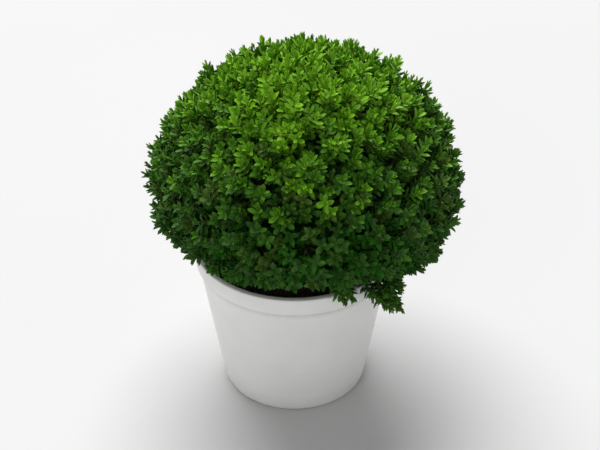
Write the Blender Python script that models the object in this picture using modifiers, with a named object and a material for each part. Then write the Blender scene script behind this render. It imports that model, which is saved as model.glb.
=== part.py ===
"""Potted emerald green hebe: a dense dome of small paired leaves on many short twigs, in a round plastic pot.

Metres, +Z up. The origin is the centre of the pot's flat underside. The crown is made of foliage masses that
share the dome between them. A bough from the short main stem carries each mass.
"""

import math
import random

import bmesh
import bpy
from mathutils import Matrix, Vector

MM = 0.001
SEED = 31
WELD = 0.002 * MM
AXIS_WELD = 0.01 * MM

# The pot.
POT_RIM_RADIUS = 52.5 * MM
POT_HEIGHT = 84 * MM
POT_BASE_RADIUS = 38.5 * MM
POT_WALL = 0.9 * MM
RIM_BAND_HEIGHT = 10 * MM
RIM_BAND_STEP = 1.4 * MM
RIM_BAND_DRAFT = 0.9 * MM
RIM_ROUNDING = 0.8 * MM
FOOT_WIDTH = 4.5 * MM
HUB_RADIUS = 12 * MM
BASE_RECESS = 2 * MM
POT_STEPS = 40
DRAIN_HOLES = 8
DRAIN_HOLE_RADIUS = 3.2 * MM
DRAIN_HOLE_SIDES = 12
DRAIN_HOLE_DEPTH = 8 * MM
DRAIN_CIRCLE = 23 * MM

# The potting soil.
CLEARANCE = 0.3 * MM
SOIL_BELOW_RIM = 9 * MM
SOIL_MOUND = 1.5 * MM
SOIL_PLATEAU_RADIUS = 9 * MM
SOIL_RING_SHARES = (0, 0.55, 1)

# The crown: one dome that all the masses share, a little to one side of the pot. It tapers in underneath.
CROWN_SHIFT = 6 * MM
CROWN_CENTRE_HEIGHT = 116 * MM
CROWN_RADIUS = 84.5 * MM
CROWN_RISE = 76 * MM
CROWN_DROP = 41 * MM
CROWN_FULLNESS = 2.05
UNDERSIDE_FULLNESS = 1.6
CROWN_LOBE = 0.022
CROWN_LOBE_TURN = math.radians(75)
OVERHANG_DROP = 12 * MM
OVERHANG_TURNS = (math.radians(-38), math.radians(150))
OVERHANG_SHARPNESS = 12
CROWN_LOWEST_ANGLE = math.radians(122)
CROWN = Vector((CROWN_SHIFT, 0, CROWN_CENTRE_HEIGHT))

# The masses: one on top, and two rings round it.
UPPER_MASSES = 5
LOWER_MASSES = 8
UPPER_ANGLE = math.radians(47)
LOWER_ANGLE = math.radians(93)
LOWER_TURN = math.radians(10)
MASS_GAP = 0.4 * MM
CORE_DEPTH = 10 * MM
CORE_INNER_SHARE = 0.62
CORE_LOWEST = 92 * MM
CORE_SIDES = 14
CORE_RINGS = 5
CORE_WIDEST_ANGLE = math.radians(75)
CORE_EDGE_HALVINGS = 14

# The limbs.
STEM_HEIGHT = 19 * MM
STEM_FOOT_RADIUS = 6.6 * MM
STEM_RADIUS = 4.2 * MM
STEM_LEAN = 2.4 * MM
STEM_FLARE_SHARE = 0.12
STEM_TAPER = 0.25
STEM_LEVELS = (0, 0.07, 0.16, 0.3, 0.5, 0.75, 1)
STEM_SIDES = 12
BOUGH_FOOT_RADIUS = 1.5 * MM
BOUGH_TIP_RADIUS = 1.0 * MM
BOUGH_POINTS = 5
BOUGH_SIDES = 6
BOUGH_FOOT_LEVELS = {"lower": 6 * MM, "upper": 13 * MM}
BOUGH_STRAIGHT = 2 * MM
BOUGH_LEAVING = 0.2
BOUGH_ARRIVING = 0.45
BOUGH_END_GAP = 1.8 * MM
LIMB_ROOM = 3.2 * MM
STALK_RADIUS = 1.1 * MM
STALK_SINK = 5 * MM

# The twigs and leaves.
TWIGS = 126
TWIG_ROOT_RADIUS = 1.3 * MM
TWIG_TIP_RADIUS = 1.1 * MM
TWIG_ROOT_SHARE = 0.74
TWIG_SIDES = 3
TWIG_LENGTH_SPREAD = 1.3 * MM
TWIG_LIFT = 3 * MM
TWIG_WALL_ROOM = 2.6 * MM
TWIG_MOVE = 0.1
TWIG_MOVES = 6
LEAF_LENGTH = 14.5 * MM
LEAF_WIDTH = 8.8 * MM
LEAF_THICKNESS = 0.95 * MM
LEAF_CUP = 1.2 * MM
LEAF_WIDEST = 0.56
LEAF_ROOT_OFFSET = 0.1 * MM
LEAF_PAIRS = ((2.4 * MM, math.radians(48)), (6.0 * MM, math.radians(66)))
LEAF_TURN_TRIES = 6
LEAF_TURN_SPREAD = math.radians(5)
LEAF_ROLL_SPREAD = math.radians(6)
LEAF_LEVEL_SPREAD = 0.3 * MM
LEAF_LOWEST = 66 * MM
LEAF_MIDRIB_SHARES = (0.25, 0.5, 0.75)
JOIN_TRIES = 8

LEAF_GREEN = (0.075, 0.24, 0.018, 1)
TWIG_BROWN = (0.09, 0.06, 0.035, 1)
POT_WHITE = (0.62, 0.62, 0.64, 1)
SOIL_BROWN = (0.022, 0.015, 0.011, 1)


def clear_scene():
    for obj in list(bpy.data.objects):
        bpy.data.objects.remove(obj, do_unlink=True)


def new_collection(name):
    made = bpy.data.collections.new(name)
    bpy.context.scene.collection.children.link(made)
    return made


def new_material(name, colour, roughness):
    made = bpy.data.materials.new(name)
    made.use_nodes = True
    shader = made.node_tree.nodes["Principled BSDF"]
    shader.inputs["Base Color"].default_value = colour
    shader.inputs["Roughness"].default_value = roughness
    shader.inputs["Metallic"].default_value = 0
    return made


def object_from_bmesh(name, bm, collection, material=None):
    mesh = bpy.data.meshes.new(name)
    bm.to_mesh(mesh)
    bm.free()
    obj = bpy.data.objects.new(name, mesh)
    collection.objects.link(obj)
    if material:
        mesh.materials.append(material)
    return obj


def turned(name, profile, steps, collection, material):
    """A solid of revolution: (radius, height) points from the axis round to the axis, turned about Z."""
    bm = bmesh.new()
    corners = [bm.verts.new((radius, 0, height)) for radius, height in profile]
    for start, end in zip(corners, corners[1:]):
        bm.edges.new((start, end))
    obj = object_from_bmesh(name, bm, collection, material)
    screw = obj.modifiers.new("Turn", "SCREW")
    screw.steps = steps
    screw.render_steps = steps
    screw.use_merge_vertices = True
    screw.merge_threshold = AXIS_WELD
    screw.use_smooth_shade = True
    return obj


def volume_of(faces):
    """Signed volume inside a closed set of triangles: below zero for a sealed hollow."""
    corners = [[vert.co for vert in face.verts] for face in faces]
    return sum(first.dot(second.cross(third)) for first, second, third in corners) / 6


def touching_faces(start, waiting):
    """Every face that the first one leads to across edges, taken out of the waiting ones."""
    body = [start]
    for face in body:
        for edge in face.edges:
            for other in edge.link_faces:
                if other in waiting:
                    waiting.remove(other)
                    body.append(other)
    return body


def keep_main_body(mesh):
    """Weld the mesh, fill its sealed hollows and drop loose scrap. True if one closed body is left."""
    bm = bmesh.new()
    bm.from_mesh(mesh)
    bmesh.ops.remove_doubles(bm, verts=bm.verts[:], dist=WELD)
    bmesh.ops.dissolve_degenerate(bm, edges=bm.edges[:], dist=WELD)
    bmesh.ops.triangulate(bm, faces=bm.faces[:])
    waiting = set(bm.faces)
    bodies = []
    while waiting:
        bodies.append(touching_faces(waiting.pop(), waiting))
    main_body = max(bodies, key=volume_of)
    scrap = [face for body in bodies if body is not main_body for face in body]
    bmesh.ops.delete(bm, geom=scrap, context="FACES")
    closed = all(len(edge.link_faces) == 2 for edge in bm.edges)
    bm.to_mesh(mesh)
    bm.free()
    return closed


def join_collection(obj, operands):
    """One Boolean union of obj with every object of the collection, which is then emptied. True if it closed."""
    union = obj.modifiers.new("Join", "BOOLEAN")
    union.operation = "UNION"
    union.operand_type = "COLLECTION"
    union.collection = operands
    closed = False
    for solver in ("EXACT", "MANIFOLD"):
        if not closed:
            union.solver = solver
            graph = bpy.context.evaluated_depsgraph_get()
            joined = bpy.data.meshes.new_from_object(obj.evaluated_get(graph))
            closed = keep_main_body(joined)
    obj.modifiers.clear()
    obj.data = joined
    for operand in list(operands.objects):
        bpy.data.objects.remove(operand, do_unlink=True)
    return closed


def facing(direction):
    """A rotation that turns +Z to the direction."""
    z = direction.normalized()
    guide = Vector((0, 0, 1)) if abs(z.z) < 0.9 else Vector((1, 0, 0))
    y = z.cross(guide).normalized()
    return Matrix((y.cross(z), y, z)).transposed()


def from_angles(down, turn):
    """The unit direction at an angle down from +Z, turned about Z."""
    return Vector((math.sin(down) * math.cos(turn), math.sin(down) * math.sin(turn), math.cos(down)))


# The pot and its soil.


def pot_wall_radius(height):
    """Outer radius of the pot's wall at a height, under its rim band."""
    top = POT_RIM_RADIUS - RIM_BAND_DRAFT - RIM_BAND_STEP
    share = height / (POT_HEIGHT - RIM_BAND_HEIGHT)
    return POT_BASE_RADIUS + share * (top - POT_BASE_RADIUS)


def pot_inner_radius(height):
    return pot_wall_radius(min(height, POT_HEIGHT - RIM_BAND_HEIGHT)) - POT_WALL


def pot_profile():
    band_foot = POT_HEIGHT - RIM_BAND_HEIGHT
    floor_top = BASE_RECESS + POT_WALL
    foot_outer = POT_BASE_RADIUS - RIM_ROUNDING
    foot_inner = foot_outer - FOOT_WIDTH
    inner = pot_inner_radius(POT_HEIGHT)
    return [
        (0, floor_top),
        (pot_inner_radius(floor_top), floor_top),
        (inner, band_foot),
        (inner, POT_HEIGHT - RIM_ROUNDING),
        (inner + RIM_ROUNDING, POT_HEIGHT),
        (POT_RIM_RADIUS - RIM_ROUNDING, POT_HEIGHT),
        (POT_RIM_RADIUS, POT_HEIGHT - RIM_ROUNDING),
        (POT_RIM_RADIUS - RIM_BAND_DRAFT, band_foot + RIM_ROUNDING),
        (POT_RIM_RADIUS - RIM_BAND_DRAFT - RIM_ROUNDING, band_foot),
        (pot_wall_radius(band_foot - RIM_ROUNDING), band_foot - RIM_ROUNDING),
        (pot_wall_radius(RIM_ROUNDING), RIM_ROUNDING),
        (foot_outer, 0),
        (foot_inner, 0),
        (foot_inner - BASE_RECESS / 2, BASE_RECESS),
        (HUB_RADIUS + BASE_RECESS / 2, BASE_RECESS),
        (HUB_RADIUS, 0),
        (0, 0),
    ]


def add_rod(name, start, end, radius_start, radius_end, sides, collection):
    """A straight tapering rod between two points."""
    bm = bmesh.new()
    bmesh.ops.create_cone(
        bm,
        cap_ends=True,
        segments=sides,
        radius1=radius_start,
        radius2=radius_end,
        depth=(end - start).length,
    )
    rod = object_from_bmesh(name, bm, collection)
    rod.matrix_world = Matrix.Translation((start + end) / 2) @ facing(end - start).to_4x4()
    return rod


def make_pot(collection, cutters, material):
    """The thin pot, with a ring of drain holes through its floor."""
    pot = turned("pot", pot_profile(), POT_STEPS, collection, material)
    depth = Vector((0, 0, DRAIN_HOLE_DEPTH))
    for number in range(DRAIN_HOLES):
        turn = math.tau * (number + 0.5) / DRAIN_HOLES
        foot = Vector((DRAIN_CIRCLE * math.cos(turn), DRAIN_CIRCLE * math.sin(turn), 0)) - depth / 2
        radius = DRAIN_HOLE_RADIUS
        hole = add_rod(f"drain_hole_{number}", foot, foot + depth, radius, radius, DRAIN_HOLE_SIDES, cutters)
        hole.hide_render = True
    drain = pot.modifiers.new("Drain", "BOOLEAN")
    drain.operation = "DIFFERENCE"
    drain.operand_type = "COLLECTION"
    drain.collection = cutters


def soil_top(radius):
    """Height of the soil's surface at a distance from the pot's axis."""
    edge = pot_inner_radius(POT_HEIGHT) - CLEARANCE
    share = max(0, (radius - SOIL_PLATEAU_RADIUS) / (edge - SOIL_PLATEAU_RADIUS))
    return POT_HEIGHT - SOIL_BELOW_RIM - SOIL_MOUND * share * share


def make_soil(collection, material):
    bottom = BASE_RECESS + POT_WALL + CLEARANCE
    edge = pot_inner_radius(POT_HEIGHT) - CLEARANCE
    rings = [SOIL_PLATEAU_RADIUS + share * (edge - SOIL_PLATEAU_RADIUS) for share in SOIL_RING_SHARES]
    profile = [(0, soil_top(0))]
    profile += [(radius, soil_top(radius)) for radius in rings]
    profile += [(pot_inner_radius(bottom) - CLEARANCE, bottom), (0, bottom)]
    turned("potting_soil", profile, POT_STEPS, collection, material)


# The shape of the crown and of each mass's space in it.


def crown_reach(direction):
    """Distance from the crown's centre to its outline along a unit direction."""
    turn = math.atan2(direction.y, direction.x)
    across = CROWN_RADIUS * (1 + CROWN_LOBE * math.cos(2 * (turn - CROWN_LOBE_TURN)))
    if direction.z >= 0:
        along = CROWN_RISE
        fullness = CROWN_FULLNESS
    else:
        near = max(max(0, math.cos(turn - at)) ** OVERHANG_SHARPNESS for at in OVERHANG_TURNS)
        along = CROWN_DROP + OVERHANG_DROP * near
        fullness = UNDERSIDE_FULLNESS
    flat = math.hypot(direction.x, direction.y) / across
    steep = abs(direction.z) / along
    return (flat**fullness + steep**fullness) ** (-1 / fullness)


def mass_sites():
    """Name and direction of each mass, from the crown's centre."""
    sites = {"top": Vector((0, 0, 1))}
    for number in range(UPPER_MASSES):
        turn = math.tau * number / UPPER_MASSES - math.pi / 2
        sites[f"upper_{number + 1}"] = from_angles(UPPER_ANGLE, turn)
    for number in range(LOWER_MASSES):
        turn = math.tau * number / LOWER_MASSES - math.pi / 2 + LOWER_TURN
        sites[f"lower_{number + 1}"] = from_angles(LOWER_ANGLE, turn)
    return sites


def walls_of(site, sites):
    """Normals of the planes through the crown's centre that part this mass from the others."""
    return [(other - site).normalized() for other in sites.values() if other != site]


def in_space(points, walls, thickness=0):
    """True if every point is inside the mass's own space, and clear of the pot and the soil."""
    for point in points:
        if any((point - CROWN).dot(wall) > -thickness - MASS_GAP / 2 for wall in walls):
            return False
        radius = math.hypot(point.x, point.y)
        if radius > POT_RIM_RADIUS + 2 * CLEARANCE:
            lowest = LEAF_LOWEST
        elif radius < pot_inner_radius(POT_HEIGHT) - 2 * CLEARANCE:
            lowest = soil_top(radius) + 2 * CLEARANCE
        else:
            lowest = POT_HEIGHT + 2 * CLEARANCE
        if point.z < lowest:
            return False
    return True


def space_edge(site, turn, walls):
    """Angle from the mass's middle to the edge of its space, on the side given by the turn."""
    frame = facing(site)
    near = 0
    far = CORE_WIDEST_ANGLE
    for _ in range(CORE_EDGE_HALVINGS):
        angle = (near + far) / 2
        direction = frame @ from_angles(angle, turn)
        point = direction * (crown_reach(direction) - CORE_DEPTH)
        inside = all(point.dot(wall) * CORE_INNER_SHARE < -MASS_GAP for wall in walls)
        if inside and point.z > CORE_LOWEST - CROWN_CENTRE_HEIGHT:
            near = angle
        else:
            far = angle
    return near


def make_core(name, site, walls, collection, material):
    """The dense inside of a mass: a patch of the dome, thickened towards the crown's centre."""
    bm = bmesh.new()
    bmesh.ops.create_uvsphere(bm, u_segments=CORE_SIDES, v_segments=CORE_RINGS, radius=1)
    frame = facing(site)
    for vert in bm.verts:
        ring = round(math.acos(max(-1, min(1, vert.co.z))) / (math.pi / CORE_RINGS))
        turn = math.atan2(vert.co.y, vert.co.x)
        outer_side = ring <= CORE_RINGS // 2
        from_middle = ring if outer_side else CORE_RINGS - ring
        angle = space_edge(site, turn, walls) * from_middle / (CORE_RINGS // 2)
        direction = frame @ from_angles(angle, turn)
        reach = crown_reach(direction) - CORE_DEPTH
        vert.co = CROWN + direction * reach * (1 if outer_side else CORE_INNER_SHARE)
    bmesh.ops.recalc_face_normals(bm, faces=bm.faces[:])
    bmesh.ops.triangulate(bm, faces=bm.faces[:])
    return object_from_bmesh(name, bm, collection, material)


# The limbs.


def tapering_limb(name, points, radii, sides, collection, material):
    """A round limb through the points, as a curve with a radius at each."""
    curve = bpy.data.curves.new(name, "CURVE")
    curve.dimensions = "3D"
    curve.bevel_depth = 1
    curve.bevel_resolution = (sides - 4) // 2
    curve.use_fill_caps = True
    spline = curve.splines.new("POLY")
    spline.points.add(len(points) - 1)
    for place, point, radius in zip(spline.points, points, radii):
        place.co = (*point, 1)
        place.radius = radius
    curve.materials.append(material)
    limb = bpy.data.objects.new(name, curve)
    collection.objects.link(limb)


def stem_point(height):
    """A point on the stem's line, at a height over its foot."""
    share = height / STEM_HEIGHT
    return Vector((STEM_LEAN * share * share, 0, soil_top(0) + CLEARANCE + height))


def stem_radius(height):
    """Radius of the stem at a height over its foot: flared at the foot, tapering above."""
    share = height / STEM_HEIGHT
    flare = (STEM_FOOT_RADIUS - STEM_RADIUS) * math.exp(-share / STEM_FLARE_SHARE)
    return STEM_RADIUS * (1 - STEM_TAPER * share) + flare


def make_stem(collection, material):
    heights = [STEM_HEIGHT * share for share in STEM_LEVELS]
    points = [stem_point(height) for height in heights]
    radii = [stem_radius(height) for height in heights]
    tapering_limb("main_stem", points, radii, STEM_SIDES, collection, material)


def bough_line(kind, direction):
    """Points of a bough, from the stem to the inner side of its mass."""
    core = (crown_reach(direction) - CORE_DEPTH) * CORE_INNER_SHARE
    tip = CROWN + direction * (core - BOUGH_END_GAP)
    if kind == "top":
        foot = stem_point(STEM_HEIGHT) + Vector((0, 0, CLEARANCE))
        leave = Vector((0, 0, 1))
    else:
        level = BOUGH_FOOT_LEVELS[kind]
        leave = Vector((direction.x, direction.y, 0)).normalized()
        foot = stem_point(level) + leave * (stem_radius(level) + CLEARANCE)
    span = (tip - foot).length
    first = foot + leave * BOUGH_STRAIGHT
    second = foot + leave * BOUGH_LEAVING * span
    third = tip - direction * BOUGH_ARRIVING * span
    fourth = tip - direction * BOUGH_STRAIGHT
    line = [foot]
    for number in range(BOUGH_POINTS):
        share = number / (BOUGH_POINTS - 1)
        back = 1 - share
        early = first * back**3 + second * (3 * back**2 * share)
        late = third * (3 * back * share**2) + fourth * share**3
        line.append(early + late)
    return line + [tip]


def make_bough(name, line, collection, material):
    last = len(line) - 1
    slim = (BOUGH_TIP_RADIUS - BOUGH_FOOT_RADIUS) / last
    radii = [BOUGH_FOOT_RADIUS + slim * number for number in range(len(line))]
    tapering_limb(name, line, radii, BOUGH_SIDES, collection, material)


# The twigs and leaves.


def leaf_mesh():
    """One cupped leaf of eight faces, from its root at the origin along +X, with its inner side up."""
    bm = bmesh.new()
    bmesh.ops.create_uvsphere(bm, u_segments=4, v_segments=2, radius=1)
    for vert in bm.verts:
        corner = vert.co.copy()
        if abs(corner.z) > 0.5:
            vert.co = (LEAF_WIDEST * LEAF_LENGTH, 0, LEAF_THICKNESS / 2 * corner.z - LEAF_CUP)
        elif abs(corner.x) > 0.5:
            vert.co = (LEAF_LENGTH * (1 + corner.x) / 2, 0, 0)
        else:
            vert.co = (LEAF_WIDEST * LEAF_LENGTH, LEAF_WIDTH / 2 * corner.y, 0)
    bmesh.ops.recalc_face_normals(bm, faces=bm.faces[:])
    mesh = bpy.data.meshes.new("leaf")
    bm.to_mesh(mesh)
    bm.free()
    return mesh


def twig_places():
    """Each twig's direction from the crown's centre, in a spiral over the dome, and its extra length."""
    dice = random.Random(SEED)
    golden_turn = math.pi * (3 - math.sqrt(5))
    for number in range(TWIGS):
        level = 1 - (number + 0.5) / TWIGS * (1 - math.cos(CROWN_LOWEST_ANGLE))
        yield from_angles(math.acos(level), number * golden_turn), dice.uniform(-1, 1)


def twig_line(direction, extra):
    """Root and tip of a twig. The root is behind the tip and a little lower, so that the twig grows upward."""
    below, lean = LEAF_PAIRS[0]
    leaf_rise = LEAF_LENGTH * math.cos(lean) - below
    tip = CROWN + direction * (crown_reach(direction) - leaf_rise + extra * TWIG_LENGTH_SPREAD)
    root = CROWN + (tip - CROWN) * TWIG_ROOT_SHARE
    root.z = max(root.z - TWIG_LIFT * (1 - direction.z), CORE_LOWEST + TWIG_LIFT)
    return root, tip


def leaf_places(tip, axis, spin, dice):
    """A matrix for each leaf of a twig: two crossed pairs, none of them quite level or straight."""
    for number, (below, lean) in enumerate(LEAF_PAIRS):
        for half_turn in (0, math.pi):
            turn = spin + math.pi / 2 * number + half_turn + LEAF_TURN_SPREAD * dice.uniform(-1, 1)
            side = facing(axis) @ Vector((math.cos(turn), math.sin(turn), 0))
            along = axis * math.cos(lean) + side * math.sin(lean)
            up = axis * math.sin(lean) - side * math.cos(lean)
            frame = Matrix((along, up.cross(along), up)).transposed().to_4x4()
            level = below + LEAF_LEVEL_SPREAD * dice.uniform(-1, 1)
            root = tip - axis * level + along * LEAF_ROOT_OFFSET
            roll = Matrix.Rotation(LEAF_ROLL_SPREAD * dice.uniform(-1, 1), 4, "X")
            yield Matrix.Translation(root) @ frame @ roll


def leaf_corners(mesh, place):
    """The placed leaf's corners, and points along its middle."""
    corners = [place @ vert.co for vert in mesh.vertices]
    root = place @ Vector((0, 0, 0))
    tip = place @ Vector((LEAF_LENGTH, 0, 0))
    return corners + [root.lerp(tip, share) for share in LEAF_MIDRIB_SHARES]


def clear_of_limbs(points, limb_points):
    return all((point - near).length > LIMB_ROOM for point in points for near in limb_points)


def fullest_leaves(tip, axis, leaf, walls, limb_points, dice):
    """The turn of a twig's leaves that keeps most of them inside the mass's space and clear of the limbs."""
    best = []
    for _ in range(LEAF_TURN_TRIES):
        places = []
        for place in leaf_places(tip, axis, dice.uniform(0, math.pi), dice):
            corners = leaf_corners(leaf, place)
            if clear_of_limbs(corners, limb_points) and in_space(corners, walls):
                places.append(place)
        if len(places) > len(best):
            best = places
    return best


def fitted_twig(direction, extra, site, walls):
    """The twig's root and tip, moved towards the middle of the mass until it is clear of the space's walls."""
    for _ in range(TWIG_MOVES):
        root, tip = twig_line(direction, extra)
        if in_space([root, root.lerp(tip, 0.5), tip], walls, TWIG_WALL_ROOM):
            return root, tip
        direction = direction.lerp(site, TWIG_MOVE).normalized()
    return None


def grow_twigs(twigs, site, walls, limb_points, leaf, operands, dice):
    """Twigs with their leaves, where they fit in the mass's space."""
    for direction, extra in twigs:
        line = fitted_twig(direction, extra, site, walls)
        if line is None:
            continue
        root, tip = line
        places = fullest_leaves(tip, (tip - root).normalized(), leaf, walls, limb_points, dice)
        if not places:
            continue
        add_rod("twig", root, tip, TWIG_ROOT_RADIUS, TWIG_TIP_RADIUS, TWIG_SIDES, operands)
        for place in places:
            blade = bpy.data.objects.new("leaf", leaf)
            blade.matrix_world = place
            operands.objects.link(blade)


def make_mass(name, site, sites, twigs, limb_points, leaf, parts, operands, material):
    """One foliage mass: a core on its stalk, and the twigs and leaves that stand out of it."""
    walls = walls_of(site, sites)
    stalk_start = bough_line(name.split("_")[0], site)[-1] + site * CLEARANCE
    stalk_end = stalk_start + site * (STALK_SINK + CLEARANCE)
    for attempt in range(JOIN_TRIES):
        dice = random.Random(f"{SEED} {name} {attempt}")
        mass = make_core(f"foliage_{name}", site, walls, parts, material)
        add_rod("stalk", stalk_start, stalk_end, STALK_RADIUS, STALK_RADIUS, BOUGH_SIDES, operands)
        grow_twigs(twigs, site, walls, limb_points, leaf, operands, dice)
        if join_collection(mass, operands):
            mass.data.materials.clear()
            mass.data.materials.append(material)
            return
        bpy.data.objects.remove(mass, do_unlink=True)
    raise RuntimeError(f"{name} does not close")


def main():
    clear_scene()
    parts = new_collection("emerald_green_hebe")
    cutters = new_collection("cutters")
    operands = new_collection("operands")
    green = new_material("leaf green", LEAF_GREEN, 0.45)
    bark = new_material("twig bark", TWIG_BROWN, 0.8)
    make_pot(parts, cutters, new_material("pot plastic", POT_WHITE, 0.4))
    make_soil(parts, new_material("potting soil", SOIL_BROWN, 0.95))
    make_stem(parts, bark)
    sites = mass_sites()
    limb_points = []
    for name, site in sites.items():
        line = bough_line(name.split("_")[0], site)
        make_bough(f"bough_{name}", line, parts, bark)
        limb_points += line + [start.lerp(end, 0.5) for start, end in zip(line, line[1:])]
    twigs = {name: [] for name in sites}
    for direction, extra in twig_places():
        nearest = max(sites, key=lambda name: sites[name].dot(direction))
        twigs[nearest].append((direction, extra))
    leaf = leaf_mesh()
    for name, site in sites.items():
        make_mass(name, site, sites, twigs[name], limb_points, leaf, parts, operands, green)


main()
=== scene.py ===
import math
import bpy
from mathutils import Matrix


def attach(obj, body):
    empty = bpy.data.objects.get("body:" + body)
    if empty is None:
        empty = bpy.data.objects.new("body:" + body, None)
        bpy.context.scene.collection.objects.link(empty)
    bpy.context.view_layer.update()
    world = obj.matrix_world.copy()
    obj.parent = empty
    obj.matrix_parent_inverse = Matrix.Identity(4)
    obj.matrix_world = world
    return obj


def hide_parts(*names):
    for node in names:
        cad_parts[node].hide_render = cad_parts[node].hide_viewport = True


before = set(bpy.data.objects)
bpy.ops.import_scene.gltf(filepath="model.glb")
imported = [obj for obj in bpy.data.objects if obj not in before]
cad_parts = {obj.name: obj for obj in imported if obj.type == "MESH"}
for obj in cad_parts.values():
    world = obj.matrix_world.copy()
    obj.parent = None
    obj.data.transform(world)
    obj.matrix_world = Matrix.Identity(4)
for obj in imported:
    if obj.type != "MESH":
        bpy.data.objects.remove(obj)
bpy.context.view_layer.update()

from types import SimpleNamespace

import bmesh
import bpy
import numpy as np
from mathutils import Vector

# The plant is worked out in millimetres, which become metres when a mesh is made.
MM = 0.001
SEED = 21
TAU = math.tau
GOLDEN_TURN = math.pi * (3 - math.sqrt(5))

# The pot.
POT_RIM_RADIUS = 52.5
POT_HEIGHT = 84
POT_BASE_RADIUS = 38.5
POT_WALL = 0.9
WALL_POINTS = 12
RIM_BAND_HEIGHT = 10
RIM_BAND_STEP = 1.4
RIM_BAND_DRAFT = 0.9
RIM_ROUNDING = 0.8
ROUNDING_POINTS = 6
FOOT_WIDTH = 4.5
HUB_RADIUS = 12
BASE_RECESS = 2
POT_STEPS = 192
SHARP_EDGE_ANGLE = math.radians(38)
DRAIN_HOLES = 8
DRAIN_HOLE_RADIUS = 3.2
DRAIN_HOLE_STEPS = 32
DRAIN_CIRCLE = 23
DRAIN_CUTTER_DEPTH = 8
CLEARANCE = 0.3

# The soil. Its surface is uneven up to a narrow edge by the wall.
SOIL_BELOW_RIM = 9
SOIL_MOUND = 1.5
SOIL_PLATEAU_RADIUS = 9
SOIL_RINGS = 56
SOIL_STEPS = 180
SOIL_EDGE_WIDTH = 0.8
SOIL_RISES = (-0.5, 0.6)
SOIL_SHIFTS = (-0.25, 0.25)
SOIL_TOP_MARGIN = 0.2
SOIL_SIDE_BELOW_RIM = 14
SOIL_SIDE_RINGS = 8

# The loose crumbs on the soil, which leave its very middle to the stem.
CRUMBS = 900
CRUMB_AREA_SHARES = (0.02, 1)
CRUMB_WALL_GAP = 1.2
CRUMB_SIZES = (0.35, 1.15)
CRUMB_LIFT_SHARE = 0.3
CRUMB_CORNER_SHARES = (0.65, 1.2)
CRUMB_STRETCHES = (0.6, 1.3)

# The crown, as in the solids: its middle and reach, and where it hangs lower over the rim.
CROWN = np.array((6.0, 0.0, 116.0))
CROWN_RADIUS = 84.5
CROWN_RISE = 76
CROWN_DROP = 41
CROWN_FULLNESS = 2.05
UNDERSIDE_FULLNESS = 1.6
CROWN_LOBE = 0.022
CROWN_LOBE_TURN = math.radians(75)
OVERHANG_DROP = 12
OVERHANG_TURNS = (math.radians(-38), math.radians(150))
OVERHANG_SHARPNESS = 12
CROWN_LOWEST_ANGLE = math.radians(122)

# The masses of foliage, as in the solids.
UPPER_MASSES = 5
LOWER_MASSES = 8
UPPER_ANGLE = math.radians(47)
LOWER_ANGLE = math.radians(93)
LOWER_TURN = math.radians(10)
CORE_DEPTH = 10
CORE_INNER_SHARE = 0.62
CORE_LOWEST = 92

# The woody limbs, as in the solids.
STEM_HEIGHT = 19
STEM_FOOT_RADIUS = 6.6
STEM_RADIUS = 4.2
STEM_LEAN = 2.4
STEM_FLARE_SHARE = 0.12
STEM_TAPER = 0.25
BOUGH_RADII = (1.5, 1.0)
BOUGH_FOOT_LEVELS = {"lower": 6, "upper": 13}
BOUGH_FOOT_DEPTH = 1
BOUGH_STRAIGHT = 2
BOUGH_LEAVING = 0.2
BOUGH_ARRIVING = 0.45
BOUGH_END_GAP = 1.8

# The fineness of the limbs and the relief of their bark, as shares of their radius.
STEM_RINGS = 26
STEM_SIDES = 28
STEM_RELIEF = 0.035
BOUGH_CURVE_POINTS = 18
BOUGH_SIDES = 12
BOUGH_RELIEF = 0.04
# Ridges along a limb: how many side by side, how high, and how far they wind from ring to ring.
RIDGES = ((5, 1.0, 0.35), (9, 0.6, -0.2))
# Knots: how many side by side, how close together from ring to ring, and how high.
KNOTS_AROUND = 2
KNOT_CLOSENESS = 0.9
KNOT_HEIGHT = 0.8
BARK_GRAIN = 0.5

# The twigs of the solids.
TWIGS = 126
TWIG_ROOT_SHARE = 0.74
TWIG_LIFT = 3
TWIG_TIP_BELOW = 14
TWIG_LEAVING = 0.35
TWIG_RADII = (1.0, 0.55)
TWIG_POINTS = 11
TWIG_SIDES = 7

# The finer shoots that each twig carries. They end in rounded clumps on the dome.
SHOOTS = 2250
SHOOT_LOWEST_ANGLE = math.radians(133)
SHOOT_SCATTER = 0.022
SHOOT_SPREAD = 1.0
SHOOT_RISE = 2.6
SHOOT_RADII = (0.52, 0.22)
SHOOT_POINTS = 7
SHOOT_SIDES = 4
SHOOT_POT_ROOM = 0.9
CLUMPS = 400
CLUMP_SCATTER = 0.03
CLUMP_RADIUS = 7.3
CLUMP_SPREAD = 1.9
CLUMP_ROUNDNESS = 5.0
CLUMP_EDGE = 1.4
CLUMP_UNDERCUT = 3.2
CLUMP_UNDERCUT_REACH = (-0.3, 1.2)
PROUD_SHARE = 0.07
PROUD_RISE = (1.0, 3.2)
MISSING_SHARE = 0.03
# How far the underside is drawn in, at the front where the rim shows and at the back,
# and the heights of a direction between which this fades out.
UNDERSIDE_TRIMS = ((-0.6, 0.1), (7.5, 3.0))
UNDERSIDE_HEIGHTS = (-0.22, 0.03)

# Where a shoot's end points: outwards, away from the middle of its clump, upwards, and at random.
# It turns up less under the crown, where it hangs: the heights of its direction, and how much.
AIM_OUTWARDS = 0.8
AIM_SPLAY = 0.28
SHOOT_LIFTS = ((-0.45, -0.1, 0.3, 0.8), (0.12, 0.6, 0.65, 0.4))
AIM_WANDER = 0.12
INNER_WANDER = 0.4

# A shoot's fork, as a share of its twig: the further it ends from a point ahead of the twig,
# the further back it forks off.
FORK_AHEAD = 8
FORK_SPAN = 16
FORK_FURTHEST = 1.05
FORK_SHARES = (0.15, 0.95)
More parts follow.
